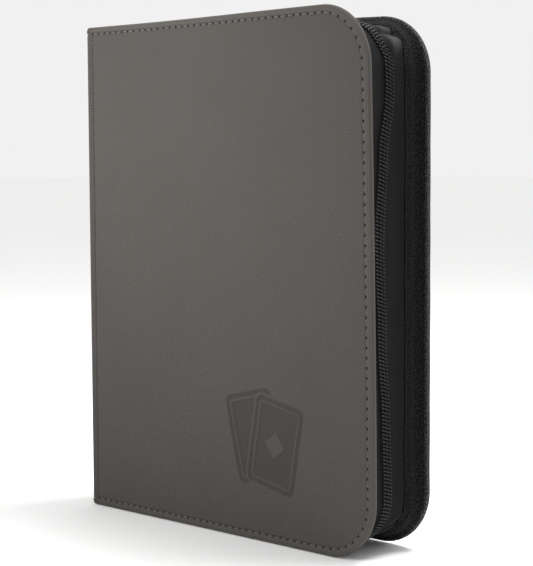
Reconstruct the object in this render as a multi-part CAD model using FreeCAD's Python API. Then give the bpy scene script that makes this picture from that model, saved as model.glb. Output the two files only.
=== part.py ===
import FreeCAD, Part
import math
import os

# Zip-up trading card binder, standing upright on its lower edge.
# Millimetres. +Z is up, the front cover faces -Y, the spine is at -X and the zip opens at +X.
# The origin is the middle of the binder's foot print.

os.makedirs("parts", exist_ok=True)
Vector = FreeCAD.Vector

# ---- driving dimensions ----
HEIGHT = 245.0
WIDTH = 192.0
THICKNESS = 40.0
CORNER_RADIUS = 27.0       # the two corners at the opening side

SKIN = 0.8                 # embossed PU skin
FOAM = 0.8                 # padding under the skin
BOARD = 1.2                # stiff board
LINING = 0.2               # inner cloth
COVER = SKIN + FOAM + BOARD + LINING

CREASE_WIDTH = 3.1         # soft strip between the spine's outer face and a cover's stiff part
CREASE_RADIUS = 3.5
CREASE_SWEEP = 65.0        # degrees of the rounded edge that stay with the spine

STITCH_INSET = 4.3         # cover edge to stitch line
THREAD = 0.6
GROOVE = 0.8
GROOVE_DEPTH = 0.4

RECESS = 5.0               # the zip wall lies this far inside the covers' edges
TAPE = 0.6
GUSSET = 1.0
FLANGE = 5.0               # seam allowance glued to the lining
FLANGE_THICKNESS = 0.4
FACING = 0.3               # black cloth over the back cover's edge
ZIP_Y = -7.0               # middle of the chain, nearer the front cover
CHAIN_GAP = 0.5            # from the middle of the chain to each row of teeth
COIL_WIDTH = 2.7
COIL_HEIGHT = 1.2
GUSSET_SEAM_Y = 8.0        # where the back tape meets the gusset
SEAM_LAP = 3.0

TAPE_START = -90.5         # the zip wall ends here, short of the spine
COIL_START = -80.0
STOP_LENGTH = 1.6

LEAF_COUNT = 12
LEAF_PITCH = 2.3
SHEET = 0.3
FILM = 0.2
LEAF_START = -89.0
POCKET_WIDTH = 70.0        # a 63.5 x 88.9 card goes in from the side
POCKET_HEIGHT = 92.0
WELD = 4.0
BINDING_MARGIN = 12.0
POCKET_COLUMNS = 2
POCKET_ROWS = 2

SLIDER_X = -74.0           # parked at the closed end, by the spine
SLIDER_LENGTH = 12.0
SLIDER_WIDTH = 9.0
PLATE_ABOVE = 1.0
PLATE_BELOW = 0.8
POST_LENGTH = 2.4
POST_WIDTH = 0.6
BRIDGE_LENGTH = 7.0
BRIDGE_WIDTH = 1.2
BRIDGE_HEIGHT = 2.4
BRIDGE_WALL = 0.9
PULL_ROD = 0.65
PULL_ARM = 6.6
PULL_SPREAD = 2.4          # from the middle of the pull's ring to each arm
TONGUE_WIDTH = 4.6
TONGUE_THICKNESS = 0.9
GRIP_LENGTH = 22.0
GRIP_WIDTH = 7.0
GRIP_THICKNESS = 2.2

# ---- places worked out from them ----
LEFT = -WIDTH / 2
RIGHT = WIDTH / 2
FRONT = -THICKNESS / 2
BACK = THICKNESS / 2
INNER_FRONT = FRONT + COVER
INNER_BACK = BACK - COVER
COVER_START = LEFT + CREASE_WIDTH
TAPE_TOP = HEIGHT - RECESS
COIL_TOP = TAPE_TOP + COIL_HEIGHT
SLIDER_LOW = COIL_TOP + 0.2                        # underside of the slider's upper plate
PULL_Z = SLIDER_LOW + PLATE_ABOVE + PULL_ROD + 0.1
LEAF_WIDTH = BINDING_MARGIN + POCKET_COLUMNS * POCKET_WIDTH + (POCKET_COLUMNS + 1) * WELD
LEAF_HEIGHT = POCKET_ROWS * POCKET_HEIGHT + (POCKET_ROWS + 1) * WELD
LEAF_BOTTOM = (HEIGHT - LEAF_HEIGHT) / 2


def block(x0, x1, y0, y1, z0, z1):
    """Box between two corners."""
    return Part.makeBox(x1 - x0, y1 - y0, z1 - z0, Vector(x0, y0, z0))


def outline(inset, left, y):
    """Face in an XZ plane: square at the spine side, rounded at the opening side."""
    right = RIGHT - inset
    low = inset
    high = HEIGHT - inset
    radius = CORNER_RADIUS - inset
    slant = radius * math.sqrt(0.5)
    middle_x = right - radius + slant
    points = [
        Vector(left, y, low),
        Vector(right - radius, y, low),
        Vector(middle_x, y, low + radius - slant),
        Vector(right, y, low + radius),
        Vector(right, y, high - radius),
        Vector(middle_x, y, high - radius + slant),
        Vector(right - radius, y, high),
        Vector(left, y, high),
    ]
    edges = [
        Part.LineSegment(points[0], points[1]).toShape(),
        Part.Arc(points[1], points[2], points[3]).toShape(),
        Part.LineSegment(points[3], points[4]).toShape(),
        Part.Arc(points[4], points[5], points[6]).toShape(),
        Part.LineSegment(points[6], points[7]).toShape(),
        Part.LineSegment(points[7], points[0]).toShape(),
    ]
    return Part.Face(Part.Wire(edges))


def slab(inset, left, y0, y1):
    """Cover-shaped plate between two depths."""
    return outline(inset, left, y0).extrude(Vector(0, y1 - y0, 0))


def rim_wall(inset, thickness, left, y0, y1):
    """Wall that follows the cover's top, opening side and bottom, and is open at the spine."""
    outer = slab(inset, left, y0, y1)
    inner = slab(inset + thickness, left - 1.0, y0 - 1.0, y1 + 1.0)
    return outer.cut(inner)


def ring(inset, width, left, y0, y1):
    """Closed band that follows the whole cover, spine side included."""
    outer = slab(inset, left, y0, y1)
    inner = slab(inset + width, left + width, y0 - 1.0, y1 + 1.0)
    return outer.cut(inner)


def flipped(shape):
    """The same piece for the back cover."""
    return shape.mirror(Vector(0, 0, 0), Vector(0, 1, 0))


def card_outline(centre_x, centre_z, width, height, line, tilt):
    """Blank playing card drawn as a frame, used as a shallow emboss."""
    y0 = FRONT - 1.0
    depth = 1.25
    outer = block(-width / 2, width / 2, y0, y0 + depth, -height / 2, height / 2)
    inner = block(
        -width / 2 + line, width / 2 - line, y0, y0 + depth, -height / 2 + line, height / 2 - line
    )
    frame = outer.cut(inner)
    frame.rotate(Vector(0, 0, 0), Vector(0, 1, 0), tilt)
    frame.translate(Vector(centre_x, 0, centre_z))
    return frame


# ---- front and back covers ----
def cover_skin():
    """Outer skin: a shallow tray that wraps the edge, with a groove for the stitching."""
    face = slab(0, COVER_START, FRONT, FRONT + SKIN)
    edge = ring(0, SKIN, COVER_START, FRONT + SKIN, INNER_FRONT)
    groove_start = COVER_START + STITCH_INSET - CREASE_WIDTH
    groove = ring(STITCH_INSET, GROOVE, groove_start, FRONT - 1.0, FRONT + GROOVE_DEPTH)
    return face.fuse(edge).cut(groove).removeSplitter()


def cover_stitching():
    """One run of thread that lies in the groove."""
    side = (GROOVE - THREAD) / 2
    start = COVER_START + STITCH_INSET - CREASE_WIDTH + side
    return ring(STITCH_INSET + side, THREAD, start, FRONT + 0.05, FRONT + GROOVE_DEPTH)


def cover_layers():
    """Foam, board and lining, stacked inside the skin's tray."""
    start = COVER_START + SKIN
    foam_back = FRONT + SKIN + FOAM
    board_back = foam_back + BOARD
    return {
        "foam": slab(SKIN, start, FRONT + SKIN, foam_back),
        "board": slab(SKIN, start, foam_back, board_back),
        "lining": slab(SKIN, start, board_back, INNER_FRONT),
    }


def emblem_recess():
    """Two overlapping blank cards, pressed into the front skin."""
    left_card = card_outline(26.0, 46.0, 27.0, 38.0, 1.6, -12.0)
    right_card = card_outline(38.0, 49.0, 27.0, 38.0, 1.6, 12.0)
    return left_card.fuse(right_card)


def front_zip_tape():
    """Zip wall on the front cover, with its seam allowance."""
    wall = rim_wall(RECESS, TAPE, TAPE_START, INNER_FRONT, ZIP_Y - CHAIN_GAP)
    flange = rim_wall(RECESS, FLANGE, TAPE_START, INNER_FRONT, INNER_FRONT + FLANGE_THICKNESS)
    return wall.fuse(flange).removeSplitter()


def back_zip_tape():
    """Zip wall on the back cover's side, stepped inwards to lie under the gusset."""
    wall = rim_wall(RECESS, TAPE, TAPE_START, ZIP_Y + CHAIN_GAP, GUSSET_SEAM_Y)
    step = rim_wall(RECESS, GUSSET + TAPE, TAPE_START, GUSSET_SEAM_Y - TAPE, GUSSET_SEAM_Y)
    lap_inset = RECESS + GUSSET
    lap = rim_wall(lap_inset, TAPE, TAPE_START, GUSSET_SEAM_Y, GUSSET_SEAM_Y + SEAM_LAP)
    return wall.fuse(step).fuse(lap).removeSplitter()


def back_gusset():
    """Cloth-faced side wall between the zip tape and the back cover."""
    wall = rim_wall(RECESS, GUSSET, TAPE_START, GUSSET_SEAM_Y, INNER_BACK)
    flange = rim_wall(RECESS, FLANGE, TAPE_START, INNER_BACK - FLANGE_THICKNESS, INNER_BACK)
    return wall.fuse(flange).removeSplitter()


def zip_coil(y0):
    """One row of teeth, standing proud of the tape."""
    return rim_wall(RECESS - COIL_HEIGHT, COIL_HEIGHT, COIL_START, y0, y0 + COIL_WIDTH)


def zip_stop(y0):
    """Small crimped stop on the tape, behind the parked slider."""
    end = COIL_START - 0.4
    return block(end - STOP_LENGTH, end, y0, y0 + 1.8, TAPE_TOP, TAPE_TOP + COIL_HEIGHT)


def front_cover_pieces():
    """Every piece that swings with the front cover."""
    pieces = {"front_" + name: shape for name, shape in cover_layers().items()}
    pieces["front_skin"] = cover_skin().cut(emblem_recess())
    pieces["front_stitching"] = cover_stitching()
    pieces["front_zip_tape"] = front_zip_tape()
    pieces["front_zip_coil"] = zip_coil(ZIP_Y - CHAIN_GAP - COIL_WIDTH)
    pieces["front_zip_stop"] = zip_stop(ZIP_Y - CHAIN_GAP - 1.8)
    return pieces


def edge_facing():
    """Cloth over the cover's edge and over the inner face up to the side wall."""
    wall = rim_wall(0, FACING, COVER_START, FRONT + SKIN, INNER_FRONT + FACING)
    hem = rim_wall(0, RECESS - 0.1, COVER_START, INNER_FRONT, INNER_FRONT + FACING)
    return wall.fuse(hem).removeSplitter()


def back_cover_pieces():
    """Every piece that swings with the back cover."""
    pieces = {"back_" + name: flipped(shape) for name, shape in cover_layers().items()}
    facing = edge_facing()
    pieces["back_skin"] = flipped(cover_skin().cut(facing))
    pieces["back_edge_facing"] = flipped(facing)
    pieces["back_stitching"] = flipped(cover_stitching())
    pieces["back_gusset"] = back_gusset()
    seam = GUSSET_SEAM_Y + 0.6
    pieces["back_gusset_stitching"] = rim_wall(RECESS - 0.25, 0.25, TAPE_START, seam, seam + 0.5)
    pieces["back_zip_tape"] = back_zip_tape()
    pieces["back_zip_coil"] = zip_coil(ZIP_Y + CHAIN_GAP)
    pieces["back_zip_stop"] = zip_stop(ZIP_Y + CHAIN_GAP)
    return pieces


# ---- spine ----
def crease_skin():
    """Rounded strip of skin at the spine's front edge, where the cover bends."""
    middle = LEFT + CREASE_RADIUS
    centre = Vector(middle, FRONT + CREASE_RADIUS, 0)
    axis = Vector(0, 0, 1)
    outer = Part.makeCylinder(CREASE_RADIUS, HEIGHT, centre, axis, CREASE_SWEEP)
    inner = Part.makeCylinder(CREASE_RADIUS - SKIN, HEIGHT, centre, axis, CREASE_SWEEP)
    strip = outer.cut(inner)
    strip.rotate(centre, axis, 180.0)
    return strip


def zip_end_tab(z0):
    """Cloth flap from the spine that covers the ends of the zip tape."""
    return block(LEFT + 2.3, COIL_START - 4.5, ZIP_Y - 5.5, ZIP_Y + 5.5, z0, z0 + 0.8)


def spine_pieces():
    """Skin, board, lining and the strip that holds the leaves."""
    half = BACK - CREASE_RADIUS
    board_half = half - 1.0
    skin_inner = LEFT + SKIN
    board_inner = skin_inner + BOARD
    lining_inner = board_inner + LINING
    strip_inner = lining_inner + 1.0
    strip_half = LEAF_COUNT * LEAF_PITCH / 2 + 1.0
    front_crease = crease_skin()
    return {
        "spine_skin": block(LEFT, skin_inner, -half, half, 0, HEIGHT),
        "spine_board": block(skin_inner, board_inner, -board_half, board_half, 1.0, HEIGHT - 1.0),
        "spine_lining": block(
            board_inner, lining_inner, -board_half, board_half, 1.0, HEIGHT - 1.0
        ),
        "front_crease_skin": front_crease,
        "back_crease_skin": flipped(front_crease),
        "page_binding_strip": block(
            lining_inner, strip_inner, -strip_half, strip_half, LEAF_BOTTOM, LEAF_BOTTOM + LEAF_HEIGHT
        ),
        "zip_end_tab_top": zip_end_tab(TAPE_TOP + 0.2),
        "zip_end_tab_bottom": zip_end_tab(RECESS - 1.0),
    }


# ---- leaves ----
def leaf_y(number):
    """Depth of a leaf's middle, numbered from the front cover."""
    return (number - (LEAF_COUNT + 1) / 2) * LEAF_PITCH


def leaf_sheet(number):
    """Black middle sheet of one leaf."""
    y = leaf_y(number)
    half = SHEET / 2
    end = LEAF_START + LEAF_WIDTH
    return block(LEAF_START, end, y - half, y + half, LEAF_BOTTOM, LEAF_BOTTOM + LEAF_HEIGHT)


def leaf_pockets(number):
    """Clear pocket films of one leaf: one for each card, on both faces."""
    y = leaf_y(number)
    films = []
    for column in range(POCKET_COLUMNS):
        x0 = LEAF_START + BINDING_MARGIN + WELD + column * (POCKET_WIDTH + WELD)
        for row in range(POCKET_ROWS):
            z0 = LEAF_BOTTOM + WELD + row * (POCKET_HEIGHT + WELD)
            for y0 in (y - SHEET / 2 - FILM, y + SHEET / 2):
                films.append(block(x0, x0 + POCKET_WIDTH, y0, y0 + FILM, z0, z0 + POCKET_HEIGHT))
    return Part.makeCompound(films)


# ---- zip slider and pull ----
def slider_body():
    """Top and bottom plates, the post between them and the guide on the back side."""
    half_length = SLIDER_LENGTH / 2
    half_width = SLIDER_WIDTH / 2
    top_z = SLIDER_LOW
    low_z = TAPE_TOP - TAPE - 0.4
    shoulder = half_length * 0.35
    tail = half_width * 0.66
    corners = [
        (-half_length, -half_width),
        (-shoulder, -half_width),
        (half_length, -tail),
        (half_length, tail),
        (-shoulder, half_width),
        (-half_length, half_width),
    ]

    def plate(z0, thickness):
        points = [Vector(SLIDER_X + x, ZIP_Y + y, z0) for x, y in corners]
        face = Part.Face(Part.makePolygon(points + points[:1]))
        solid = face.extrude(Vector(0, 0, thickness))
        upright = [edge for edge in solid.Edges if abs(edge.tangentAt(edge.FirstParameter).z) > 0.9]
        return solid.makeFillet(1.0, upright)

    top = plate(top_z, PLATE_ABOVE)
    bottom = plate(low_z - PLATE_BELOW, PLATE_BELOW)
    post_x = SLIDER_X - half_length + 1.5
    post = block(
        post_x, post_x + POST_LENGTH, ZIP_Y - POST_WIDTH / 2, ZIP_Y + POST_WIDTH / 2,
        low_z - PLATE_BELOW / 2, top_z + PLATE_ABOVE / 2,
    )
    guide_y = ZIP_Y + CHAIN_GAP + COIL_WIDTH + 0.2
    guide = block(
        SLIDER_X - half_length + 1.0, SLIDER_X - shoulder, guide_y, guide_y + 0.8,
        TAPE_TOP + 0.2, top_z + PLATE_ABOVE / 2,
    )
    return top.fuse(bottom).fuse(post).fuse(guide).removeSplitter()


def slider_bridge():
    """Arch on the slider that the pull's ring passes through."""
    base = SLIDER_LOW + PLATE_ABOVE
    half_length = BRIDGE_LENGTH / 2
    half_width = BRIDGE_WIDTH / 2
    arch = block(
        SLIDER_X - half_length, SLIDER_X + half_length,
        ZIP_Y - half_width, ZIP_Y + half_width, base, base + BRIDGE_HEIGHT,
    )
    upper = [
        edge for edge in arch.Edges
        if edge.CenterOfMass.z > base + BRIDGE_HEIGHT - 0.1 and abs(edge.CenterOfMass.x - SLIDER_X) > 1.0
    ]
    arch = arch.makeFillet(1.2, upper)
    opening = block(
        SLIDER_X - half_length + BRIDGE_WALL, SLIDER_X + half_length - BRIDGE_WALL,
        ZIP_Y - BRIDGE_WIDTH, ZIP_Y + BRIDGE_WIDTH, base - 1.0, base + BRIDGE_HEIGHT - BRIDGE_WALL,
    )
    return arch.cut(opening)


def rod(start, direction, length):
    """Round rod with rounded ends."""
    body = Part.makeCylinder(PULL_ROD, length, start, direction)
    end = start + direction * length
    return body.fuse(Part.makeSphere(PULL_ROD, start)).fuse(Part.makeSphere(PULL_ROD, end))


def rounded_plate(start, end, half_width, thickness, radius):
    """Flat plate in the pull's plane with rounded corners."""
    low = PULL_Z - thickness / 2
    plate = block(start, end, ZIP_Y - half_width, ZIP_Y + half_width, low, low + thickness)
    upright = [edge for edge in plate.Edges if abs(edge.tangentAt(edge.FirstParameter).z) > 0.9]
    return plate.makeFillet(radius, upright)


def pull_frame():
    """Metal loop through the bridge, with a flat tongue for the grip."""
    near = SLIDER_X
    left = ZIP_Y - PULL_SPREAD
    right = ZIP_Y + PULL_SPREAD
    far = SLIDER_X + PULL_ARM
    along = Vector(1, 0, 0)
    across = Vector(0, 1, 0)
    loop = rod(Vector(near, left, PULL_Z), across, right - left)
    loop = loop.fuse(rod(Vector(near, left, PULL_Z), along, PULL_ARM))
    loop = loop.fuse(rod(Vector(near, right, PULL_Z), along, PULL_ARM))
    loop = loop.fuse(rod(Vector(far, left, PULL_Z), across, right - left))
    tongue = rounded_plate(far, far + GRIP_LENGTH - 1.0, TONGUE_WIDTH / 2, TONGUE_THICKNESS, 1.0)
    return loop.fuse(tongue)


def pull_grip():
    """Moulded sleeve that covers the tongue."""
    start = SLIDER_X + PULL_ARM + PULL_ROD + 0.1
    end = start + GRIP_LENGTH
    sleeve = rounded_plate(start, end, GRIP_WIDTH / 2, GRIP_THICKNESS, 2.6)
    return sleeve.cut(pull_frame())


def zip_pieces():
    """The slider and the pull, which the hand works."""
    return {
        "zip_slider_body": slider_body(),
        "zip_slider_bridge": slider_bridge(),
        "zip_pull_frame": pull_frame(),
        "zip_pull_grip": pull_grip(),
    }


# ---- the whole binder ----
nodes = {}
nodes.update(spine_pieces())
nodes.update(front_cover_pieces())
nodes.update(back_cover_pieces())
nodes.update(zip_pieces())
for leaf_number in range(1, LEAF_COUNT + 1):
    nodes["leaf_%02d_sheet" % leaf_number] = leaf_sheet(leaf_number)
    nodes["leaf_%02d_pockets" % leaf_number] = leaf_pockets(leaf_number)

for name, shape in nodes.items():
    shape.exportStep("parts/%s.step" % name)
    box = shape.BoundBox
    print(
        "%-24s %2d solid  %9.2f mm3  x %7.2f %7.2f  y %6.2f %6.2f  z %6.2f %6.2f%s" % (
            name, len(shape.Solids), shape.Volume, box.XMin, box.XMax, box.YMin, box.YMax,
            box.ZMin, box.ZMax, "" if shape.isValid() else "  INVALID",
        )
    )
print(len(nodes), "nodes")
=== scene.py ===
import math

import bmesh
import bpy
import numpy as np
from mathutils import Matrix, Vector, geometry


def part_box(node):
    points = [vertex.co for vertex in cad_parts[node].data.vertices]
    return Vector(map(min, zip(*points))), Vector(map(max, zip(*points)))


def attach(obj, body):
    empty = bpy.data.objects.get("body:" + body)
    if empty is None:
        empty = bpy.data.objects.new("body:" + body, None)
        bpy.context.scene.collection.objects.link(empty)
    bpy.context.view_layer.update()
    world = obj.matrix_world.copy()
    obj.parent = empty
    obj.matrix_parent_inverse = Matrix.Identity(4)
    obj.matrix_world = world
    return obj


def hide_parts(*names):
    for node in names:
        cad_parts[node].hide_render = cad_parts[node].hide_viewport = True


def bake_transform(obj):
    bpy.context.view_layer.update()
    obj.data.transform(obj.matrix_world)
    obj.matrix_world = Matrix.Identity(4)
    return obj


# Looks of the zip-up trading card binder. Lengths are millimetres in the CAD frame, and add_mesh
# turns them into metres. The spine is at -X, the front cover faces -Y and the zip opens at +X.

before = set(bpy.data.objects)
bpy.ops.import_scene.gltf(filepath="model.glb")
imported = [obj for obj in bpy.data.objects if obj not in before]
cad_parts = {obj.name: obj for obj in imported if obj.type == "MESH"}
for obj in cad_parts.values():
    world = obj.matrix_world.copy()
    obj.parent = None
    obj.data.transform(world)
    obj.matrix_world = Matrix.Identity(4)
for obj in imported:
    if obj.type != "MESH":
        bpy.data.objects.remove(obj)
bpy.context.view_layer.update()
MM = 0.001


# ---- sizes read from the frame ----
def box_mm(node):
    """Lowest and highest corner of a CAD node, in millimetres."""
    low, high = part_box(node)
    return np.array(low) / MM, np.array(high) / MM


FRONT_LOW, FRONT_HIGH = box_mm("front_skin")
BACK_LOW, BACK_HIGH = box_mm("back_skin")
SPINE_LOW, _ = box_mm("spine_skin")
TAPE_LOW, TAPE_HIGH = box_mm("front_zip_tape")
COIL_LOW, COIL_HIGH = box_mm("front_zip_coil")
GUSSET_LOW, _ = box_mm("back_gusset")

LEFT = SPINE_LOW[0]
RIGHT = FRONT_HIGH[0]
TOP = FRONT_HIGH[2]
FRONT = FRONT_LOW[1]
BACK = BACK_HIGH[1]
INNER_FRONT = FRONT_HIGH[1]
INNER_BACK = BACK_LOW[1]
CORNER = 27.0                        # corner radius of the covers
RECESS = RIGHT - TAPE_HIGH[0]        # the zip wall lies this far inside the covers' edges
TAPE = 0.6                           # thickness of the zip's tapes
TAPE_START = TAPE_LOW[0]
COIL_START = COIL_LOW[0]
CHAIN_Y = COIL_HIGH[1] + 0.5
SEAM_Y = GUSSET_LOW[1]
CREASE = 2.2                         # radius of the rounded edge between spine and cover
SEAM_X = LEFT + 3.7                  # where the crease's skin meets the cover's skin
PITCH = 1.66                         # one turn of the coil
COIL_STAGGER = 0.45                  # share of a turn that the back row lies behind the front row
COIL_SLANT = 0.55
COIL_WIDTH = 3.1                     # how far a turn reaches from the chain's middle onto its tape
COIL_OVERLAP = 0.95                  # and past the middle
STITCH = 4.45                        # pitch of the stitches round the edge
STITCH_INSET = 3.5
SPINE_STITCH = 1.5                   # pitch of the finer stitches beside the spine
SPINE_STITCH_X = SEAM_X + 1.5
WALL_LENGTH_TOP = RIGHT - CORNER - TAPE_START
ARC = (CORNER - RECESS) * math.pi / 2
SIDE = TOP - 2 * CORNER
WALL_LENGTH = 2 * WALL_LENGTH_TOP + 2 * ARC + SIDE

LEAN = 3.9                           # how far the front cover's top corner stands out
LEAN_HEIGHT = 235.0
LEAN_START = -60.0                   # the covers leave their flat planes from here on
BACK_DROOP = 2.4                     # how far the back cover's top corner sits low
BACK_LIFT = 0.9                      # and its bottom corner high
FRONT_RISE = 1.0                     # how far the front cover's top corner sits high
PAD_RISE = 0.45                      # how far the padding rises just inside the stitches
CROWN = 0.75                         # and from there to the middle of the cover
EMBLEM = (32.0, 47.5)                # middle of the pressed emblem on the front
CARD_SIZE = (30.0, 42.0)
CARD_LINE = 5.4                      # the frame line is this much smaller than the card
EMBLEM_REACH = 31.0                  # half size of the finer mesh round the emblem
PRESSED = 0.45                       # depth of the emblem
LEAF_COUNT = 12
POCKETS_ACROSS = 2
POCKETS_DOWN = 2
POCKET_GAP = 4.0
POCKET_PUFF = 0.34                   # how far an empty pocket stands open
FILM = 0.1                           # thickness of the pockets' film
LEAF_HALF = 0.15                     # half of a leaf's thickness
LEAF_BEND_END = -89.4                # end point of a leaf past the binding strip
THREAD_GAP = 0.42                    # a stitch stops this far from the middle of its needle holes


# ---- mesh helpers ----
def add_mesh(name, points, faces, uv, smooth=True, attributes=None):
    """Mesh object from points in millimetres, with a weave map in millimetres and point attributes."""
    mesh = bpy.data.meshes.new(name)
    points = settled(np.asarray(points, float).reshape(-1, 3))
    mesh.from_pydata((points * MM).tolist(), [], [list(map(int, f)) for f in faces])
    layer = mesh.uv_layers.new(name="weave")
    corner = np.zeros(len(mesh.loops), np.int32)
    mesh.loops.foreach_get("vertex_index", corner)
    uv = np.asarray(uv, float).reshape(-1, 2)
    layer.data.foreach_set("uv", uv[corner].astype(np.float32).ravel())
    for key, values in (attributes or {}).items():
        data = mesh.attributes.new(key, "FLOAT", "POINT")
        data.data.foreach_set("value", np.asarray(values, np.float32).ravel())
    if smooth:
        mesh.polygons.foreach_set("use_smooth", [True] * len(mesh.polygons))
    solid = bmesh.new()
    solid.from_mesh(mesh)
    bmesh.ops.recalc_face_normals(solid, faces=solid.faces)
    solid.to_mesh(mesh)
    solid.free()
    mesh.update()
    obj = bpy.data.objects.new(name, mesh)
    bpy.context.scene.collection.objects.link(obj)
    return obj


def grid_faces(rows, columns, offset=0, flip=False, wrap=False):
    """Quads of a grid of points stored row by row. wrap joins the last column to the first."""
    faces = []
    last = columns if wrap else columns - 1
    for i in range(rows - 1):
        for j in range(last):
            k = (j + 1) % columns
            quad = (
                offset + i * columns + j, offset + (i + 1) * columns + j,
                offset + (i + 1) * columns + k, offset + i * columns + k,
            )
            faces.append(quad[::-1] if flip else quad)
    return faces


def tube_faces(rows, columns):
    """Faces of a closed tube: a grid that wraps round, and its two ends."""
    faces = grid_faces(rows, columns, wrap=True)
    faces += [tuple(range(columns)), tuple(range((rows - 1) * columns, rows * columns))]
    return faces


def closed_sheet(outer, inner):
    """Points and faces of a thin closed solid between two grids of the same size."""
    rows, columns = outer.shape[:2]
    count = rows * columns
    points = np.concatenate([outer.reshape(-1, 3), inner.reshape(-1, 3)])
    faces = grid_faces(rows, columns) + grid_faces(rows, columns, count, True)
    border = (
        [(0, j) for j in range(columns)]
        + [(i, columns - 1) for i in range(1, rows)]
        + [(rows - 1, j) for j in range(columns - 2, -1, -1)]
        + [(i, 0) for i in range(rows - 2, 0, -1)]
    )
    for a, b in zip(border, border[1:] + border[:1]):
        p = a[0] * columns + a[1]
        q = b[0] * columns + b[1]
        faces.append((p, q, q + count, p + count))
    return points, faces


def both_sides(u, v):
    """Weave map of a closed sheet: the same two coordinates on both of its grids."""
    uv = np.stack(np.broadcast_arrays(u, v), -1).reshape(-1, 2)
    return np.concatenate([uv, uv])


def add_sheet(name, outer, inner, u, v, attributes=None):
    """Mesh object of a closed sheet, with its weave map."""
    points, faces = closed_sheet(outer, inner)
    return add_mesh(name, points, faces, both_sides(u, v), attributes=attributes)


def smoothstep(x):
    x = np.clip(x, 0.0, 1.0)
    return x * x * (3 - 2 * x)


def bump(x, width):
    """Soft bell around zero."""
    return np.exp(-((x / width) ** 2))


def eased(x, stations, values):
    """Smooth curve through a few given values."""
    x = np.asarray(x, float)
    result = np.full(x.shape, float(values[0]))
    for x0, x1, v0, v1 in zip(stations, stations[1:], values, values[1:]):
        result = np.where(x >= x0, v0 + (v1 - v0) * smoothstep((x - x0) / (x1 - x0)), result)
    return result


def spread(start, end, step):
    """Evenly spaced values from start to end, about step apart."""
    return np.linspace(start, end, max(2, int(round(abs(end - start) / step)) + 1))


# ---- the line that the zip wall follows ----
def rail(s):
    """Foot point (x, z) and outward direction (x, z) at length s along the wall, from the top of the
    spine round the opening side to the bottom of the spine."""
    s = np.asarray(s, float)
    a = WALL_LENGTH_TOP
    b = a + ARC
    c = b + SIDE
    d = c + ARC
    x1 = RIGHT - CORNER
    z1 = TOP - CORNER
    z0 = CORNER
    turn_top = np.clip((s - a) / ARC, 0, 1) * math.pi / 2
    turn_low = np.clip((s - c) / ARC, 0, 1) * math.pi / 2
    angle = math.pi / 2 - turn_top - turn_low
    x = np.where(s < a, TAPE_START + s, np.where(s < d, x1, x1 - (s - d)))
    z = np.where(s < b, z1, np.where(s < c, z1 - (s - b), z0))
    return x, z, np.cos(angle), np.sin(angle)


def wall_points(s, y, inset):
    """Points on the zip wall at length s, depth y and distance inset from the covers' edge."""
    x, z, nx, nz = rail(s)
    reach = CORNER - inset
    return np.stack([x + nx * reach, y + 0 * x, z + nz * reach], -1)


def wall_outward(s):
    """Outward direction of the zip wall at length s."""
    _, _, nx, nz = rail(s)
    return np.stack([nx, 0 * nx, nz], -1)


def edge_distance(x, z):
    """Distance from a point of a cover to its top, opening or bottom edge."""
    corner_x = RIGHT - CORNER
    over_x = np.maximum(x - corner_x, 0)
    over_z = np.maximum(np.maximum(z - (TOP - CORNER), CORNER - z), 0)
    in_corner = CORNER - np.hypot(over_x, over_z)
    straight = np.minimum(np.minimum(RIGHT - x, TOP - z), z)
    return np.where((over_x > 0) & (over_z > 0), in_corner, straight)


def settled(points):
    """The used case isn't square: the front cover's free edge stands out towards its top corner, and
    the back cover's top corner sits a little lower."""
    x, y, z = points.T
    side = smoothstep((x - LEAN_START) / (RIGHT - LEAN_START))
    front_share = smoothstep((CHAIN_Y - 3.5 - y) / (CHAIN_Y - 3.5 - INNER_FRONT))
    lean = side * (0.2 - LEAN * (np.maximum(z, 0) / LEAN_HEIGHT) ** 1.7)
    back_share = smoothstep((y - CHAIN_Y) / (INNER_BACK - CHAIN_Y))
    high = (np.maximum(z, 0) / TOP) ** 2
    low = np.maximum(1 - z / TOP, 0) ** 2
    lift = side * (FRONT_RISE * high * front_share + (BACK_LIFT * low - BACK_DROOP * high) * back_share)
    return np.stack([x, y + lean * front_share, z + lift], -1)


# ---- the skins ----
def on_cover(side, x, z, depth):
    """Points at a depth below a cover's flat face. side is -1 for the front and 1 for the back."""
    flat = FRONT if side < 0 else BACK
    return np.stack(np.broadcast_arrays(x, flat - side * depth, z), -1)


def lattice(x, z):
    """All points (x, z) of a rectangular lattice."""
    return np.stack(np.meshgrid(x, z), -1).reshape(-1, 2)


def rounded_card(x, z, centre, width, height, radius, tilt):
    """Signed distance to a tilted rounded rectangle, negative inside."""
    c = math.cos(math.radians(tilt))
    s = math.sin(math.radians(tilt))
    u = (x - centre[0]) * c + (z - centre[1]) * s
    v = -(x - centre[0]) * s + (z - centre[1]) * c
    du = np.abs(u) - width / 2 + radius
    dv = np.abs(v) - height / 2 + radius
    outside = np.hypot(np.maximum(du, 0), np.maximum(dv, 0))
    return outside + np.minimum(np.maximum(du, dv), 0) - radius


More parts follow.
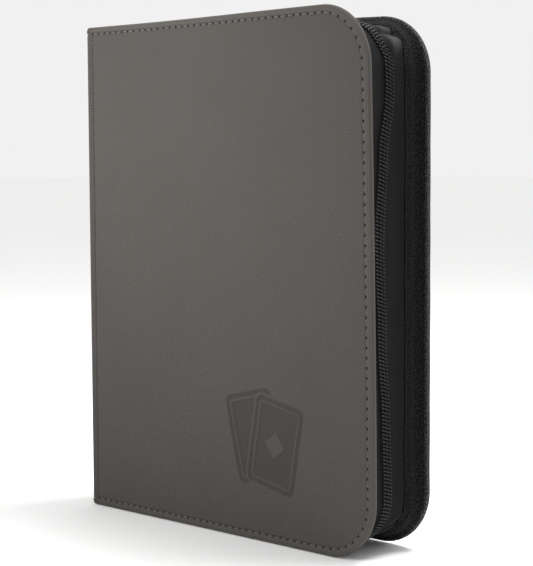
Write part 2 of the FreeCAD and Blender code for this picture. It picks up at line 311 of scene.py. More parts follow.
def emblem_distance(x, z):
    """Signed distance to the pressed area: two fanned blank cards, each with a plain frame, and a
    diamond left standing in the middle of the front one."""
    width, height = CARD_SIZE
    back_card = (EMBLEM[0] - 7.5, EMBLEM[1] + 2.0)
    card = (EMBLEM[0] + 5.5, EMBLEM[1] - 1.0)
    tilt = -11.0
    rear = rounded_card(x, z, back_card, width, height, 3.4, 13.0)
    inner = (width - CARD_LINE, height - CARD_LINE)
    rear_line = np.abs(rounded_card(x, z, back_card, *inner, 1.8, 13.0)) - 0.55
    front = rounded_card(x, z, card, width, height, 3.4, tilt)
    line = np.abs(rounded_card(x, z, card, *inner, 1.8, tilt)) - 0.55
    diamond = rounded_card(x, z, card, 9.0, 9.0, 0.6, tilt + 45.0)
    rear_only = np.maximum(np.maximum(rear, 1.3 - front), -rear_line)
    front_only = np.maximum(np.maximum(front, -line), -diamond)
    return np.minimum(rear_only, front_only)


def emblem_mask(x, z):
    """1 where the emblem is pressed in, 0 outside it."""
    return smoothstep(0.5 - emblem_distance(x, z) / 0.7)


def needle_holes(along, across, step, radius):
    """Depth share of the row of needle holes on a stitch line."""
    near = (along / step - np.round(along / step)) * step
    return np.exp(-(near ** 2 + across ** 2) / radius ** 2)


def skin_relief(x, z, along, emblem):
    """Depth of the cover's outer surface below its flat plane, and the share that is needle hole, which the
    finish paints dark as painted shade.
    along is the length along the edge."""
    d = edge_distance(x, z)
    away = smoothstep((x - SEAM_X) / 1.2)          # the lines fade out round the spine's edges
    inside = np.minimum(d, x - SPINE_STITCH_X + 3.5)
    padded = -PAD_RISE * smoothstep((inside - 3.8) / 10.0) - CROWN * smoothstep((inside - 4.0) / 46.0)
    border = -0.24 * bump(d - 2.2, 0.75) + 0.16 * bump(d - 1.2, 0.24) + 0.3 * smoothstep((0.9 - d) / 0.9)
    groove = (0.15 + 0.28 * away) * bump(d - STITCH_INSET, 0.6)
    spine_side = 0.28 * bump(x - SPINE_STITCH_X, 0.6) * smoothstep((d - 3.0) / 0.8)
    hole = needle_holes(along, d - STITCH_INSET, STITCH, 0.62) * (0.6 + 0.4 * away)
    column = needle_holes(z, x - SPINE_STITCH_X, SPINE_STITCH, 0.4) * (d > STITCH_INSET)
    wave = 0.10 * np.sin(x / 23.0 + z / 41.0) + 0.08 * np.sin(x / 37.0 - z / 19.0 + 1.3)
    wave = wave * smoothstep((d - 6.0) / 18.0) * smoothstep((x - SEAM_X) / 25.0)
    depth = padded + border + groove + spine_side + 0.45 * hole * away + 0.25 * column + wave
    if emblem:
        depth = depth + PRESSED * emblem_mask(x, z)
    return depth, np.maximum(hole, 0.9 * column)


FACE_INSETS = (
    0.9, 1.05, 1.2, 1.35, 1.5, 1.8, 2.2, 2.55, 2.8, 3.0, 3.17, 3.33, 3.5, 3.67, 3.83, 4.0, 4.25, 4.6,
    5.1, 5.7, 6.5, 7.4,
)
# Sections of the covers' edges, as (distance from the edge, depth below the flat face). They start
# on the skin's inner side and go round the edge. The front's skin is turned in over the edge, and
# the back's stops at the edge, under the black facing.
FRONT_ROLL = (
    (1.0, 0.85), (0.85, 1.1), (0.85, 2.4), (1.1, 2.7), (4.0, 2.75), (4.0, 3.0), (2.5, 3.02), (1.1, 3.0),
    (0.5, 2.88), (0.15, 2.55), (0.0, 2.05), (0.0, 1.3), (0.1, 0.8), (0.32, 0.45), (0.58, 0.27),
)
BACK_ROLL = (
    (1.4, 0.85), (1.3, 1.05), (1.1, 1.2), (0.8, 1.22), (0.5, 1.1), (0.4, 0.9), (0.42, 0.7), (0.5, 0.5),
    (0.65, 0.38),
)
EXTRA = TAPE_START - SEAM_X          # the covers' edges start this far before the zip wall


def edge_line(s):
    """The same line as rail, but its straight ends reach back to the crease."""
    x, z, nx, nz = rail(np.clip(s, 0, WALL_LENGTH))
    beyond = np.minimum(s, 0) + np.minimum(WALL_LENGTH - s, 0)
    return x + beyond, z, nx, nz


def edge_ring(s, inset):
    """Points (x, z) on the covers' outline moved inwards by inset."""
    x, z, nx, nz = edge_line(s)
    return np.stack([x + nx * (CORNER - inset), z + nz * (CORNER - inset)], -1)


def inner_points(emblem):
    """Points that fill a cover's face inside its border, finer where there is more relief."""
    points = []
    for inset, step in ((8.6, 1.4), (10.5, 2.6), (14.0, 4.0)):
        points.append(edge_ring(spread(inset - EXTRA, WALL_LENGTH + EXTRA - inset, step), inset))
    columns = SPINE_STITCH_X + np.array([-0.9, -0.6, -0.35, -0.15, 0.0, 0.15, 0.35, 0.6, 0.9, 1.5, 2.4])
    rows = spread(8.4, TOP - 8.4, SPINE_STITCH / 4)
    points.append(lattice(columns, rows))
    coarse = lattice(np.arange(SEAM_X + 6.0, RIGHT - 16.0, 4.0), np.arange(17.0, TOP - 16.0, 4.0))
    if emblem:
        low = np.array(EMBLEM) - EMBLEM_REACH
        high = np.array(EMBLEM) + EMBLEM_REACH
        inside = np.all((coarse > low - 1.0) & (coarse < high + 1.0), axis=1)
        coarse = coarse[~inside]
        points.append(lattice(spread(low[0], high[0], 0.45), spread(low[1], high[1], 0.45)))
    points.append(coarse)
    points = np.concatenate(points)
    keep = edge_distance(*points.T) > 8.2
    return points[keep & (points[:, 0] > SEAM_X + 0.3)]


def fill_outline(ring, inside):
    """Triangles over the region inside a closed ring of 2-D points, with inner points. Returns the
    points, the triangles, and for each point the ring point that it is, or -1."""
    count = len(ring)
    vectors = [Vector(p) for p in np.concatenate([ring, inside])]
    edges = [(i, (i + 1) % count) for i in range(count)]
    points, _, triangles, origins, _, _ = geometry.delaunay_2d_cdt(vectors, edges, [], 1, 1e-5)
    own = [min([o for o in origin if o < count], default=-1) for origin in origins]
    return np.array([[v.x, v.y] for v in points]), triangles, own


def add_field(mesh, ring_index, field, triangles, own, flip):
    """Adds a filled field to a mesh, sharing the points of its outline, and returns its faces. mesh is
    the lists of points, weave map and needle holes, and field is the same three for the field."""
    index = []
    for i, ring_point in enumerate(own):
        if ring_point >= 0:
            index.append(ring_index[ring_point])
        else:
            index.append(len(mesh[0]))
            for known, new in zip(mesh, field):
                known.append(new[i])
    turned = [tuple(index[i] for i in corners) for corners in triangles]
    return [corners[::-1] for corners in turned] if flip else turned


def cover_skin(name, side, roll, emblem):
    """Closed skin of one cover: the padded face with its stitch line, the turned edge, and the
    hidden inner side. side is -1 for the front and 1 for the back."""
    s = spread(-EXTRA, WALL_LENGTH + EXTRA, STITCH / 6)
    count = len(s)
    _, _, nx, nz = edge_line(s)
    rings = []
    holes = []
    for inset, depth in list(roll) + [(inset, None) for inset in FACE_INSETS]:
        ring = edge_ring(s, inset)
        hole = np.zeros(count)
        if depth is None:
            depth, hole = skin_relief(*ring.T, s, emblem)
        rings.append(on_cover(side, *ring.T, depth))
        holes.append(hole)
    rings = np.array(rings)
    travel = np.linalg.norm(np.diff(rings, axis=0), axis=2)[::-1].cumsum(axis=0)[::-1]
    travel = np.concatenate([travel, np.zeros((1, count))])
    last = rings[-1]
    ring_uv = np.stack([last[:, 0] + nx * travel, last[:, 2] + nz * travel], -1)
    points = list(rings.reshape(-1, 3))
    uv = list(ring_uv.reshape(-1, 2))
    extra = list(np.array(holes).ravel())
    faces = grid_faces(len(rings), count, 0, side > 0)

    # the face inside the border
    left_z = spread(last[-1, 2], last[0, 2], SPINE_STITCH / 2)[1:-1]
    left = np.stack([np.full(len(left_z), SEAM_X), left_z], -1)
    left_depth, _ = skin_relief(*left.T, STITCH / 2, emblem)
    ring_index = [(len(rings) - 1) * count + i for i in range(count)]
    ring_index += list(range(len(points), len(points) + len(left)))
    points += list(on_cover(side, *left.T, left_depth))
    uv += list(left)
    extra += [0.0] * len(left)
    flat, triangles, own = fill_outline(np.concatenate([last[:, [0, 2]], left]), inner_points(emblem))
    depth, hole = skin_relief(*flat.T, STITCH / 2, emblem)
    field = (on_cover(side, *flat.T, depth), flat, hole)
    faces += add_field((points, uv, extra), ring_index, field, triangles, own, side > 0)

    # the inner side
    coarse = lattice(np.arange(SEAM_X + 8.0, RIGHT - 8.0, 8.0), np.arange(10.0, TOP - 9.0, 8.0))
    coarse = coarse[edge_distance(*coarse.T) > 6.0]
    flat, triangles, own = fill_outline(rings[0][:, [0, 2]], coarse)
    field = (on_cover(side, *flat.T, roll[0][1]), flat, np.zeros(len(flat)))
    faces += add_field((points, uv, extra), range(count), field, triangles, own, side < 0)

    # the cut end at the crease
    end = [i * count for i in range(len(rings))] + ring_index[count:][::-1]
    end += [i * count + count - 1 for i in range(len(rings) - 1, -1, -1)]
    faces.append(tuple(end if side < 0 else end[::-1]))

    x, y, z = np.array(points).T
    pressed = emblem_mask(x, z) * (y < FRONT + 1.0) if emblem else 0 * x
    border = smoothstep((STITCH_INSET + 0.5 - edge_distance(x, z)) / 0.9) * smoothstep((x - SEAM_X) / 2.0)
    marks = {"hole": extra, "pressed": pressed, "border": border}
    return add_mesh(name, points, faces, uv, attributes=marks)


def cover_layer(name, side, inset, outer_depth, inner_depth, start, step=6.0):
    """Closed slab inside a cover, from the skin's side to the inner side, following its lean."""
    first = start - SEAM_X - EXTRA
    s = spread(first, WALL_LENGTH - first, 1.6)
    ring = edge_ring(s, inset)
    columns = np.arange(start + step, RIGHT - inset, step)
    coarse = lattice(columns, np.arange(inset + step, TOP - inset, step))
    coarse = coarse[edge_distance(*coarse.T) > inset + 2.0]
    flat, triangles, own = fill_outline(ring, coarse)
    count = len(flat)
    points = np.concatenate([on_cover(side, *flat.T, depth) for depth in (outer_depth, inner_depth)])
    place = {ring_point: i for i, ring_point in enumerate(own) if ring_point >= 0}
    faces = []
    for a, b, c in triangles:
        outer = (a, b, c) if side < 0 else (c, b, a)
        faces.append(outer)
        faces.append(tuple(i + count for i in outer[::-1]))
    for i in range(len(ring)):
        a = place[i]
        b = place[(i + 1) % len(ring)]
        quad = (a, b, b + count, a + count)
        faces.append(quad[::-1] if side < 0 else quad)
    return add_mesh(name, points, faces, both_sides(*flat.T), smooth=False)


# ---- the spine and the two creases, which share the covers' turned edges ----
FOLD = CREASE * math.pi / 2 + (SEAM_X - LEFT - CREASE)
SPINE_WIDTH = (BACK - CREASE) - (FRONT + CREASE)
WRAP = 2 * FOLD + SPINE_WIDTH        # the way round the spine, from one cover's skin to the other's
WRAP_STITCHES = 10


def wrap_point(w):
    """Point (x, y) and outward direction at distance w round the spine from the front cover's skin."""
    w = np.asarray(w, float)
    mirrored = w > WRAP / 2
    w = np.where(mirrored, WRAP - w, w)
    flat = SEAM_X - LEFT - CREASE
    angle = np.clip((w - flat) / CREASE, 0, math.pi / 2)
    x = LEFT + CREASE - CREASE * np.sin(angle) + np.maximum(flat - w, 0)
    y = FRONT + CREASE - CREASE * np.cos(angle) + np.maximum(w - FOLD, 0)
    out_y = -np.cos(angle)
    return x, np.where(mirrored, -y, y), -np.sin(angle), np.where(mirrored, -out_y, out_y)


def wrap_along(w):
    """Length along the stitch line for distance w round the spine, in step with both covers."""
    return -EXTRA - w * STITCH * WRAP_STITCHES / WRAP


def strip_skin(name, start, end):
    """Closed skin of the part of the spine between two distances round it, from the hem at the top
    to the hem at the bottom."""
    w = spread(start, end, 0.7)
    rows = list(FRONT_ROLL) + [(inset, None) for inset in FACE_INSETS]
    middle = [(z, None) for z in spread(9.0, TOP - 9.0, 4.0)]
    section = rows + middle + [(TOP - inset, depth) for inset, depth in rows[::-1]]
    x, y, out_x, out_y = wrap_point(w)
    along = wrap_along(w)
    columns = []
    holes = []
    for below, depth in section:
        hole = np.zeros(len(w))
        if depth is None:
            depth, hole = skin_relief(SEAM_X, TOP - below, along, False)
        depth = np.minimum(depth, CREASE - 0.15)
        columns.append(np.stack([x - out_x * depth, y - out_y * depth, TOP - below + 0 * w], -1))
        holes.append(hole)
    grid = np.array(columns).transpose(1, 0, 2)
    holes = np.array(holes).T
    count = len(section)
    travel = np.array([TOP - below for below, _ in section])
    for i in range(len(FRONT_ROLL) - 1, -1, -1):
        a, b = section[i], section[i + 1]
        travel[i] = travel[i + 1] + math.hypot(a[0] - b[0], (a[1] or 0) - (b[1] or 0))
        travel[count - 1 - i] = TOP - travel[i]
    uv = np.stack(np.broadcast_arrays((SEAM_X - w)[:, None], travel[None, :]), -1)
    return add_mesh(name, grid, tube_faces(len(w), count), uv, attributes={"hole": holes})


# ---- small repeated pieces: stitches and coil turns ----
def rods(name, start, end, up, profile, sides=8):
    """Many short rods in one mesh. Each profile row is (share of the length, half width,
    half height, lift along up)."""
    start, end, up = (np.asarray(a, float).reshape(-1, 3) for a in (start, end, up))
    axis = end - start
    side = np.cross(axis, up)
    side /= np.linalg.norm(side, axis=1)[:, None]
    angle = np.arange(sides) * 2 * math.pi / sides
    rings = []
    uv = []
    for share, half_width, half_height, lift in profile:
        middle = start + axis * share + up * lift
        ring = (
            middle[:, None, :]
            + side[:, None, :] * (half_width * np.cos(angle))[None, :, None]
            + up[:, None, :] * (half_height * np.sin(angle))[None, :, None]
        )
        rings.append(ring)
        length = np.linalg.norm(axis, axis=1)[:, None] * share
        uv.append(np.stack(np.broadcast_arrays(length, angle[None, :]), -1))
    points = np.array(rings).transpose(1, 0, 2, 3)
    uv = np.array(uv).transpose(1, 0, 2, 3)
    per_rod = len(profile) * sides
    pattern = tube_faces(len(profile), sides)
    faces = []
    for i in range(len(start)):
        faces += [tuple(per_rod * i + j for j in face) for face in pattern]
    return add_mesh(name, points, faces, uv)


THREAD_PROFILE = (
    (0.0, 0.12, 0.10, -0.42), (0.06, 0.24, 0.22, -0.22), (0.2, 0.30, 0.26, -0.02), (0.5, 0.31, 0.27, 0.07),
    (0.8, 0.30, 0.26, -0.02), (0.94, 0.24, 0.22, -0.22), (1.0, 0.12, 0.10, -0.42),
)


def stitches(name, holes, up, gap, thickness=1.0):
    """Thread that shows between neighbouring needle holes, for a run of holes."""
    holes = np.asarray(holes, float)
    step = holes[1:] - holes[:-1]
    length = np.linalg.norm(step, axis=1)[:, None]
    profile = [(t, w * thickness, h * thickness, lift) for t, w, h, lift in THREAD_PROFILE]
    share = gap / length
    return rods(name, holes[:-1] + step * share, holes[1:] - step * share, up[:-1], profile)


def edge_holes(side, emblem):
    """Needle holes of one cover's edge line, and the outward direction there."""
    first = math.ceil(-EXTRA / STITCH)
    last = math.floor((WALL_LENGTH + EXTRA) / STITCH)
    s = np.arange(first, last + 1) * STITCH
    ring = edge_ring(s, STITCH_INSET)
    depth, _ = skin_relief(*ring.T, s + STITCH / 2, emblem)
    return on_cover(side, *ring.T, depth - 0.02), np.tile([0.0, side, 0.0], (len(s), 1))


def column_holes(side):
    """Needle holes of the finer line beside the spine."""
    first = math.ceil((STITCH_INSET + 0.6) / SPINE_STITCH)
    z = np.arange(first, math.floor((TOP - STITCH_INSET - 0.6) / SPINE_STITCH) + 1) * SPINE_STITCH
    depth, _ = skin_relief(SPINE_STITCH_X, z + SPINE_STITCH / 2, STITCH / 2, False)
    return on_cover(side, SPINE_STITCH_X, z, depth), np.tile([0.0, side, 0.0], (len(z), 1))


def wrap_holes(start, end, top):
    """Needle holes round the spine between two distances, near its top or its bottom edge."""
    first = math.ceil(wrap_along(end) / STITCH - 0.5)
    last = math.floor(wrap_along(start) / STITCH + 0.5)
    along = np.arange(last, first - 1, -1) * STITCH
    w = np.clip((-EXTRA - along) * WRAP / (STITCH * WRAP_STITCHES), 0, WRAP)
    x, y, out_x, out_y = wrap_point(w)
    z = TOP - STITCH_INSET if top else STITCH_INSET
    depth, _ = skin_relief(SEAM_X, z, along + STITCH / 2, False)
    depth = depth - 0.02
    points = np.stack([x - out_x * depth, y - out_y * depth, z + 0 * w], -1)
    return points, np.stack([out_x, out_y, 0 * w], -1)


def joined(name, parts):
    """One object made of several, named name."""
    bpy.ops.object.select_all(action="DESELECT")
    for part in parts:
        part.select_set(True)
    bpy.context.view_layer.objects.active = parts[0]
    bpy.ops.object.join()
    parts[0].name = name
    parts[0].data.name = name
    return parts[0]


# ---- the zip: tapes, coil and gusset ----
def at_z(z):
    """Length along the zip wall at height z of the opening side."""
    return WALL_LENGTH_TOP + ARC + (TOP - CORNER - z)


def chain_y(s):
    """Middle of the closed zip at length s. The soft tape lets it wander."""
    turn = WALL_LENGTH_TOP + ARC
    low = turn + SIDE + ARC * 0.5
    stations = (
        0.0, turn - ARC - 4.0, turn - ARC * 0.75, turn - ARC * 0.45, turn - ARC * 0.05, at_z(208),
        at_z(180), at_z(142), at_z(100), at_z(60), at_z(30), low + 10, low + 70,
    )
    wander = (0.0, 0.1, -1.7, 0.2, 3.4, 3.9, -0.8, -3.1, -1.6, 1.1, 2.3, 0.6, 0.0)
    return CHAIN_Y + eased(s, stations, wander)


def tape_puff(s, y):
    """How far the soft tape stands out from the zip wall. It folds where it turns the corners."""
    inside = smoothstep((y + 4.6) / 2.0) * smoothstep((9.6 - y) / 2.6)
    fold = s - (WALL_LENGTH_TOP + 0.50 * ARC) + 0.16 * y
    puff = 1.9 * bump(fold + 3.0, 2.3) + 2.7 * bump(fold - 5.2, 4.4) - 1.1 * bump(fold, 0.8)
    low = s - (WALL_LENGTH_TOP + ARC + SIDE + 0.45 * ARC) + 0.5 * (y - 3.0)
    puff = puff + 0.8 * bump(low + 3.4, 2.8) + 0.7 * bump(low - 3.4, 2.6) - 0.5 * bump(low, 0.9)
    wave = 0.16 * np.sin(s / 8.3 + y / 3.0) * np.sin(s / 21.0) + 0.12 * np.sin(s / 13.7 - y / 2.2)
    wave = wave * smoothstep((s - WALL_LENGTH_TOP + 2.0) / 8.0)      # flat where the slider runs
    return puff * inside + wave


def wall_sheet(name, s, rows, thickness, attributes=None):
    """Closed band along the zip wall. rows is a list of (y at s, distance inset at s)."""
    outer = []
    inner = []
    ys = np.array([y + 0 * s for y, _ in rows])
    insets = np.array([inset + 0 * s for _, inset in rows])
    dy = np.gradient(ys, axis=0)
    di = np.gradient(insets, axis=0)
    length = np.hypot(dy, di)
    travel = np.concatenate([np.zeros((1, len(s))), np.hypot(np.diff(ys, axis=0), np.diff(insets, axis=0))])
    travel = travel.cumsum(axis=0)
    for k in range(len(rows)):
        outer.append(wall_points(s, ys[k], insets[k]))
        y = ys[k] - thickness * di[k] / length[k]
        inset = insets[k] + thickness * dy[k] / length[k]
        inner.append(wall_points(s, y, inset))
    return add_sheet(name, np.array(outer), np.array(inner), s, travel, attributes)


def front_tape(name):
    """Tape from the front cover's edge to the front coil, with a soft roll beside the cover."""
    s = spread(0, WALL_LENGTH, 0.9)
    cover = INNER_FRONT + 0 * s
    edge = chain_y(s) - 0.15
    roll = 0.7 + 2.4 * bump(s - (WALL_LENGTH_TOP + ARC + SIDE + 0.6 * ARC), 25.0)
    rows = [(cover + 0.14, RECESS + 5.0), (cover + 0.16, RECESS + 1.6), (cover + 0.3, RECESS + 0.3)]
    for share, out in ((0.06, 0.45), (0.16, 0.85), (0.28, 1.0), (0.42, 0.85), (0.56, 0.45)):
        rows.append((cover + 0.4 + share * 4.0, RECESS + 0.15 - roll * out))
    for share in np.linspace(0, 1, 9):
        start = cover + 3.3
        y = start + (edge - start) * share
        hollow = 0.14 * math.sin(math.pi * share) + 0.08 * np.sin(s / 11.0 + 2.0 * share)
        rows.append((y, RECESS + 0.15 + hollow * (1 - smoothstep((share - 0.75) / 0.25))))
    return wall_sheet(name, s, rows, TAPE)


def back_tape(name):
    s = spread(0, WALL_LENGTH, 0.7)
    edge = chain_y(s) + 0.15
    rows = []
    fold_highlight = []
    turn = s - WALL_LENGTH_TOP - 0.5 * ARC
    for share in np.linspace(0, 1, 25):
        y = edge + (SEAM_Y + 2.5 - edge) * share
        rows.append((y, RECESS + 0.15 - tape_puff(s, y) * smoothstep((share - 0.12) / 0.2)))
        # painted highlight: marks the tape's two stretched folds near the top corner, which its finish paints
        # paler
        upper = bump(turn + 3.4, 2.0) * bump(share - 0.45, 0.38)
        lower = bump(turn - 4.2, 3.8) * bump(share - 0.46, 0.33)
        fold_highlight.append(np.minimum(upper + lower, 1))
    return wall_sheet(name, s, rows, TAPE, {"fold_highlight": np.array([fold_highlight, fold_highlight])})


def gusset(name):
    """Cloth from the zip tape to the back cover's edge, where it swells out almost level with it."""
    s = spread(0, WALL_LENGTH, 0.9)
    edge = SEAM_Y - 0.5 + 0.12 * np.sin(s / 6.0)
    top_corner = bump(s - WALL_LENGTH_TOP - 0.3 * ARC, 0.42 * ARC)
    low_corner = bump(s - WALL_LENGTH_TOP - ARC - SIDE - 0.5 * ARC, 0.6 * ARC)
    rows = []
    for beyond, line in ((-0.1, 0.12), (0.0, -0.2), (0.15, -0.29)):      # the rounded seam edge
        rows.append((edge + beyond, RECESS + line - tape_puff(s, edge)))
    stations = (7.5, 8.3, 8.7, 9.1, 10.6, 12.4, 13.6, 14.8, 15.7, 16.4)
    depths = (-0.28, -0.44, -0.30, -0.55, -1.15, -1.05, -1.15, -1.9, -2.9, -3.8)
    for y in (7.9, 8.3, 8.55, 8.7, 8.85, 9.2, 9.8, 10.6, 11.6, 12.6, 13.5, 14.3, 15.0, 15.6, 16.1, 16.5):
        line = eased(np.array(y), stations, depths)
        swell = (1.9 * top_corner + 1.3 * low_corner) * float(bump(y - 12.4, 3.6))
        ripple = 0.16 * np.sin(s / 5.1 + 0.4 * y) + 0.10 * np.sin(s / 2.9 - 0.3 * y)
        ripple = ripple * smoothstep((y - 9.0) / 2.0) * smoothstep((16.4 - y) / 1.5)
        rows.append((y, RECESS + line - swell - ripple - tape_puff(s, y + 0 * s) * (y < 10.5)))
    rows += [(16.75, 1.1 + 0 * s), (16.82, 2.2 + 0 * s), (16.84, RECESS + 5.0)]
    return wall_sheet(name, s, rows, 0.4)


# share of the turn's length, half width, half height, lift: the front row's heads lie on the back row's
FRONT_COIL_PROFILE = (
    (0.0, 0.20, 0.16, -0.30), (0.06, 0.36, 0.34, -0.12), (0.17, 0.46, 0.44, 0.02), (0.28, 0.42, 0.38, -0.08),
    (0.42, 0.36, 0.30, -0.24), (0.58, 0.40, 0.36, -0.10), (0.74, 0.48, 0.46, 0.08), (0.90, 0.40, 0.38, -0.04),
    (1.0, 0.20, 0.16, -0.2),
)
BACK_COIL_PROFILE = (
    (0.0, 0.20, 0.16, -0.30), (0.06, 0.36, 0.34, -0.12), (0.17, 0.47, 0.44, 0.04), (0.32, 0.43, 0.38, -0.04),
    (0.46, 0.36, 0.28, -0.26), (0.62, 0.36, 0.28, -0.28), (0.8, 0.34, 0.28, -0.28), (1.0, 0.18, 0.16, -0.34),
)


def zip_coil(name, row):
    """Turns of one row of the coil. row is -1 at the front."""
    first = COIL_START - TAPE_START
    count = int((WALL_LENGTH - 2 * first) / PITCH)
    s = first + (np.arange(count) + (COIL_STAGGER if row > 0 else 0.0)) * PITCH
    y = chain_y(s)
    slant = -row * COIL_SLANT
    tail = wall_points(s - slant, y + row * COIL_WIDTH, RECESS - 0.38)
    head = wall_points(s + slant, y - row * COIL_OVERLAP, RECESS - 0.40)
    return rods(name, tail, head, wall_outward(s), BACK_COIL_PROFILE if row > 0 else FRONT_COIL_PROFILE)


# ---- the black facing round the back cover's edge ----
FACING_SECTION = (
    (1.0, 0.30), (0.6, 0.12), (0.25, 0.22), (0.03, 0.5), (-0.08, 0.9), (-0.12, 1.4), (-0.14, 1.9),
    (-0.12, 2.4), (-0.04, 2.8), (0.16, 3.06), (0.6, 3.16), (1.4, 3.16), (3.0, 3.12), (6.5, 3.1),
    (6.5, 2.8), (3.0, 2.75), (1.5, 2.6), (1.2, 2.3), (1.15, 1.4),
)


def swept_edge(name, section, s, side, wander=0.0):
    """Closed band with a fixed section, swept round a cover's edge."""
    rings = []
    travel = 0.0
    uv = []
    for k, (inset, depth) in enumerate(section):
        if k:
            travel += math.dist(section[k], section[k - 1])
        ring = edge_ring(s, inset - wander * np.sin(s / 4.7 + k * 0.3))
        rings.append(on_cover(side, *ring.T, depth))
        uv.append(np.stack([s, travel + 0 * s], -1))
    points = np.array(rings).transpose(1, 0, 2)
    uv = np.array(uv).transpose(1, 0, 2)
    return add_mesh(name, points, tube_faces(len(s), len(section)), uv)


# ---- thin closed bands ----
def ribbon(name, path, z, thickness):
    """Closed ribbon through a path of (x, y) points, over the heights z."""
    path = np.asarray(path, float)
    step = np.gradient(path, axis=0)
    step /= np.linalg.norm(step, axis=1)[:, None]
    normal = np.stack([step[:, 1], -step[:, 0]], -1)
    sides = []
    for line in (path, path - normal * thickness):
        sides.append(np.stack(np.broadcast_arrays(line[:, :1], line[:, 1:], z), -1))
    travel = np.concatenate([[0], np.linalg.norm(np.diff(path, axis=0), axis=1).cumsum()])
    return add_sheet(name, *sides, travel[:, None], z)


# ---- materials ----
PRESSED_SHADE = 0.63                 # the pressed emblem is smoother and darker than the cloth
BORDER_SHADE = 1.00                  # the turned border is smoother than the cloth
FOLD_HIGHLIGHT_GAIN = 7.5                     # painted highlight: the tape's stretched folds are painted paler


class Shader:
    """A node material, with short calls for the nodes that the finishes need."""

    def __init__(self, name):
        self.material = bpy.data.materials.new(name)
        self.material.use_nodes = True
        self.tree = self.material.node_tree
        self.surface = next(n for n in self.tree.nodes if n.type == "BSDF_PRINCIPLED")

    def node(self, kind, inputs=(), **settings):
        node = self.tree.nodes.new(kind)
        for key, value in settings.items():
            setattr(node, key, value)
        for place, value in inputs:
            self.feed(node.inputs[place], value)
        return node

    def feed(self, socket, value):
        if isinstance(value, bpy.types.NodeSocket):
            self.tree.links.new(value, socket)
        else:
            socket.default_value = value

    def math(self, operation, *values):
        return self.node("ShaderNodeMath", enumerate(values), operation=operation).outputs[0]

    def times(self, product, *factors):
        for factor in factors:
            product = self.math("MULTIPLY", product, factor)
        return product

    def weave_map(self):
        """The weave map's two coordinates, in millimetres."""
        uv = self.node("ShaderNodeUVMap", uv_map="weave")
        split = self.node("ShaderNodeSeparateXYZ", [(0, uv.outputs[0])])
        return uv.outputs[0], split.outputs[0], split.outputs[1]

    def attribute(self, name):
        return self.node("ShaderNodeAttribute", attribute_name=name).outputs["Fac"]

    def noise(self, vector, scale, detail=3.0, roughness=0.55):
        inputs = [("Vector", vector), ("Scale", scale), ("Detail", detail), ("Roughness", roughness)]
        return self.node("ShaderNodeTexNoise", inputs).outputs["Fac"]

    def remap(self, value, *limits):
        """Moves a value from one range to another: limits are from low, from high, to low, to high."""
        return self.node("ShaderNodeMapRange", enumerate((value, *limits))).outputs[0]

    def varied(self, noise, low, high):
        """Spreads a noise, which mostly lies between 0.3 and 0.7, over a range."""
        return self.remap(noise, 0.3, 0.7, low, high)

    def shaded(self, colour, factor):
        """A colour times a factor."""
        grey = self.node("ShaderNodeCombineXYZ", [(i, factor) for i in range(3)]).outputs[0]
        node = self.node("ShaderNodeVectorMath", [(0, colour), (1, grey)], operation="MULTIPLY")
        return node.outputs[0]

    def bump(self, height, distance, strength=1.0, normal=None):
        inputs = [("Height", height), ("Distance", distance * MM), ("Strength", strength)]
        if normal is not None:
            inputs.append(("Normal", normal))
        return self.node("ShaderNodeBump", inputs).outputs[0]

    def stripes(self, value, pitch):
        """0 to 1 and back with a period of pitch."""
        wave = self.math("SINE", self.times(value, 2 * math.pi / pitch))
        return self.math("MULTIPLY_ADD", wave, 0.5, 0.5)

    def finish(self, colour, roughness, normal=None, **extra):
        self.feed(self.surface.inputs["Base Color"], colour)
        self.feed(self.surface.inputs["Roughness"], roughness)
        if normal is not None:
            self.feed(self.surface.inputs["Normal"], normal)
        for key, value in extra.items():
            self.feed(self.surface.inputs[key.replace("_", " ")], value)
        return self.material


def twill(
    name, colour, cell, depth, contrast, sheen, roughness, shine, features=True, mottle=0.015, fleck=0.0
):
    """Diamond-grained cloth: rounded blocks between two sets of diagonal grooves. Flecks are painted
    glints: single blocks painted lighter, as if they caught more light."""
    m = Shader(name)
    uv, u, v = m.weave_map()
    one = m.times(m.math("ADD", u, v), math.sqrt(0.5))
    two = m.times(m.math("SUBTRACT", u, v), math.sqrt(0.5))
    falling = m.math("MULTIPLY_ADD", m.math("POWER", m.stripes(one, cell), 0.55), 0.72, 0.28)
    rising = m.math("MULTIPLY_ADD", m.math("POWER", m.stripes(two, cell), 0.55), 0.9, 0.1)
    block = m.times(falling, rising)
    uneven = m.noise(uv, 0.55, 4.0)
    cloud = m.noise(uv, 0.02, 2.0)
    plain = m.attribute("pressed") if features else 0.0
    grain = m.times(block, m.math("SUBTRACT", 1.0, plain))
    shade = m.remap(block, 0, 1, 1 - contrast, 1 + 0.35 * contrast)
    if features:
        edge = m.attribute("border")
        grain = m.times(grain, m.remap(edge, 0, 1, 1, 0.3))
        shade = m.math("ADD", shade, m.times(edge, m.math("SUBTRACT", BORDER_SHADE, shade)))
    shade = m.times(shade, m.varied(uneven, 1 - mottle, 1 + mottle), m.varied(cloud, 0.97, 1.03))
    if fleck:
        # painted glints: single blocks of the cloth are painted lighter
        speck = m.noise(uv, 1.15, 1.0, 0.4)
        shade = m.times(shade, m.remap(speck, 0.44, 0.66, 1 - 0.45 * fleck, 1 + 1.6 * fleck))
    if features:
        shade = m.math("ADD", shade, m.times(plain, m.math("SUBTRACT", PRESSED_SHADE, shade)))
        # painted shade: the needle holes are painted dark
        shade = m.times(shade, m.remap(m.attribute("hole"), 0.2, 0.7, 1.0, 0.12))
    normal = m.bump(m.noise(uv, 5.0, 2.0), 0.02, 0.5, m.bump(grain, depth))
    rough = m.varied(uneven, roughness - 0.05, roughness + 0.07)
    return m.finish(
        m.shaded(colour, shade), rough, normal, Sheen_Weight=sheen, Sheen_Roughness=0.45,
        Specular_IOR_Level=shine,
    )


